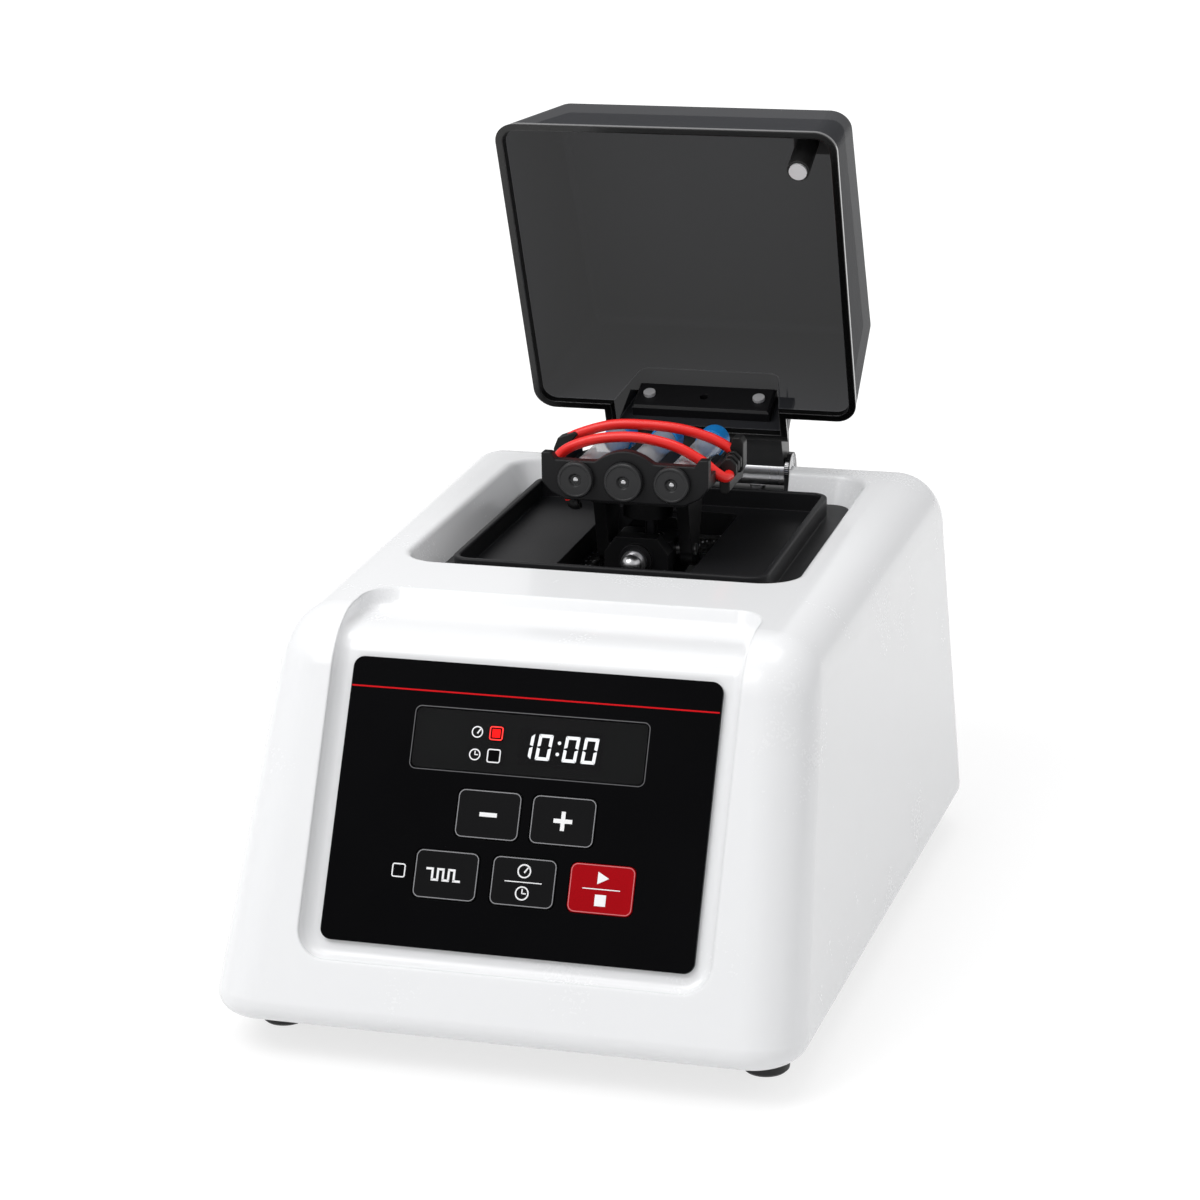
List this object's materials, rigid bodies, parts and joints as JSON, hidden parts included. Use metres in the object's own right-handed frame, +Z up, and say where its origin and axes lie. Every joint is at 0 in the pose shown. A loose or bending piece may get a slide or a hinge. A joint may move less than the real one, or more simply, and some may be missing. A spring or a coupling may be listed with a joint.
{
  "type": "bead mill homogenizer",
  "caption": "Bench-top bead mill with a sloped key panel, a rocking holder for screw-cap tubes on a two-axis gimbal, and a smoked lid on a rear hinge.",
  "frame": {"origin": "middle of the plan box at bench height, under the feet", "axes": "+Z up, the key panel faces -Y, the lid hinge runs along X at the back"},
  "size_m": [0.24, 0.3758, 0.2963],
  "materials": {
    "white_shell": "glossy",
    "grey_plate": "satin",
    "foot_rubber": "matt",
    "screw_steel": "bright",
    "panel_black": "satin",
    "smoked_window": "glossy",
    "red_lamp": "glossy",
    "digits_block": "glossy",
    "board_green": "satin",
    "key_grey": "satin",
    "key_red": "satin",
    "tray_black": "satin",
    "foam_grey": "foam",
    "switch_black": "matt",
    "hinge_steel": "satin",
    "barrel_chrome": "polished",
    "smoked_lid": "glossy",
    "seal_rubber": "matt",
    "black_metal": "satin",
    "alloy": "satin",
    "motor_black": "satin",
    "brass_part": "satin",
    "clear_tube": "frosted",
    "cap_blue": "satin",
    "band_red": "satin",
    "inlet_black": "satin"
  },
  "bodies": {
    "housing": {"housing_shell": "white_shell", "base_plate": "grey_plate", "rubber_feet": "foot_rubber", "foot_screws": "screw_steel", "control_panel": "panel_black", "display_lens": "smoked_window", "indicator_lamps": "red_lamp", "digit_display": "digits_block", "key_board": "board_green", "board_screws": "screw_steel", "chamber_tray": "tray_black", "sound_foam": "foam_grey", "lid_switch": "switch_black", "hinge_bracket": "hinge_steel", "bracket_screws": "screw_steel", "hinge_pin": "screw_steel", "frame_posts": "alloy", "rubber_mounts": "foot_rubber", "drive_plate": "alloy", "drive_motor": "motor_black", "motor_screws": "screw_steel", "spindle_bearing": "screw_steel", "pedestals": "black_metal", "trunnion_bolts": "screw_steel", "power_inlet": "inlet_black", "switch_frame": "inlet_black", "power_supply": "alloy"},
    "lid": {"lid": "smoked_lid", "lid_edge_seal": "seal_rubber", "hinge_leaf": "black_metal", "hinge_barrel": "barrel_chrome", "clamp_plate": "black_metal", "clamp_screws": "screw_steel", "interlock_post": "switch_black", "post_tip": "screw_steel"},
    "spindle": {"drive_spindle": "screw_steel", "balance_weight": "brass_part"},
    "gimbal": {"gimbal_ring": "alloy", "cross_pins": "screw_steel"},
    "holder": {"carriage": "black_metal", "crank_bush": "brass_part", "tube_holder": "tray_black", "tube_1": "clear_tube", "tube_2": "clear_tube", "tube_3": "clear_tube", "cap_1": "cap_blue", "cap_2": "cap_blue", "cap_3": "cap_blue", "front_band": "band_red", "rear_band": "band_red", "band_clips": "switch_black"},
    "stop_1": {"tube_stop_1": "tray_black"},
    "stop_2": {"tube_stop_2": "tray_black"},
    "stop_3": {"tube_stop_3": "tray_black"},
    "minus": {"minus_key": "key_grey"},
    "plus": {"plus_key": "key_grey"},
    "pulse": {"pulse_key": "key_grey"},
    "speed_time": {"speed_time_key": "key_grey"},
    "start_stop": {"start_stop_key": "key_red"},
    "rocker": {"power_rocker": "inlet_black"}
  },
  "joints": [
    {"name": "lid_hinge", "type": "hinge", "parent": "housing", "child": "lid", "pos_m": [0, 0.1362, 0.14], "axis": [1, 0, 0], "range_deg": [-20, 66.4]},
    {"name": "spindle_spin", "type": "hinge", "parent": "housing", "child": "spindle", "pos_m": [0, 0.0382, 0.1], "axis": [0, 0, 1], "continuous": true},
    {"name": "gimbal_roll", "type": "hinge", "parent": "housing", "child": "gimbal", "pos_m": [0, 0.0382, 0.1316], "axis": [0, 1, 0], "range_deg": [-4, 4]},
    {"name": "holder_pitch", "type": "hinge", "parent": "gimbal", "child": "holder", "pos_m": [0, 0.0382, 0.1316], "axis": [1, 0, 0], "range_deg": [-4, 4]},
    {"name": "tube_stop_1_turn", "type": "hinge", "parent": "holder", "child": "stop_1", "pos_m": [-0.0192, 0.0002, 0.1682], "axis": [0, 1, 0], "continuous": true},
    {"name": "tube_stop_2_turn", "type": "hinge", "parent": "holder", "child": "stop_2", "pos_m": [0, 0.0002, 0.1682], "axis": [0, 1, 0], "continuous": true},
    {"name": "tube_stop_3_turn", "type": "hinge", "parent": "holder", "child": "stop_3", "pos_m": [0.0192, 0.0002, 0.1682], "axis": [0, 1, 0], "continuous": true},
    {"name": "minus_press", "type": "slide", "parent": "housing", "child": "minus", "axis": [0, 0.8846, -0.4664], "range_m": [0, 0.0005], "stiffness_N_per_m": 1500, "springref_m": -0.0003},
    {"name": "plus_press", "type": "slide", "parent": "housing", "child": "plus", "axis": [0, 0.8846, -0.4664], "range_m": [0, 0.0005], "stiffness_N_per_m": 1500, "springref_m": -0.0003},
    {"name": "pulse_press", "type": "slide", "parent": "housing", "child": "pulse", "axis": [0, 0.8846, -0.4664], "range_m": [0, 0.0005], "stiffness_N_per_m": 1500, "springref_m": -0.0003},
    {"name": "speed_time_press", "type": "slide", "parent": "housing", "child": "speed_time", "axis": [0, 0.8846, -0.4664], "range_m": [0, 0.0005], "stiffness_N_per_m": 1500, "springref_m": -0.0003},
    {"name": "start_stop_press", "type": "slide", "parent": "housing", "child": "start_stop", "axis": [0, 0.8846, -0.4664], "range_m": [0, 0.0005], "stiffness_N_per_m": 1500, "springref_m": -0.0003},
    {"name": "power_rocker_tilt", "type": "hinge", "parent": "housing", "child": "rocker", "pos_m": [0.016, 0.12397, 0.048], "axis": [0, 0.269, 0.9632], "range_deg": [-17, 0]}
  ]
}
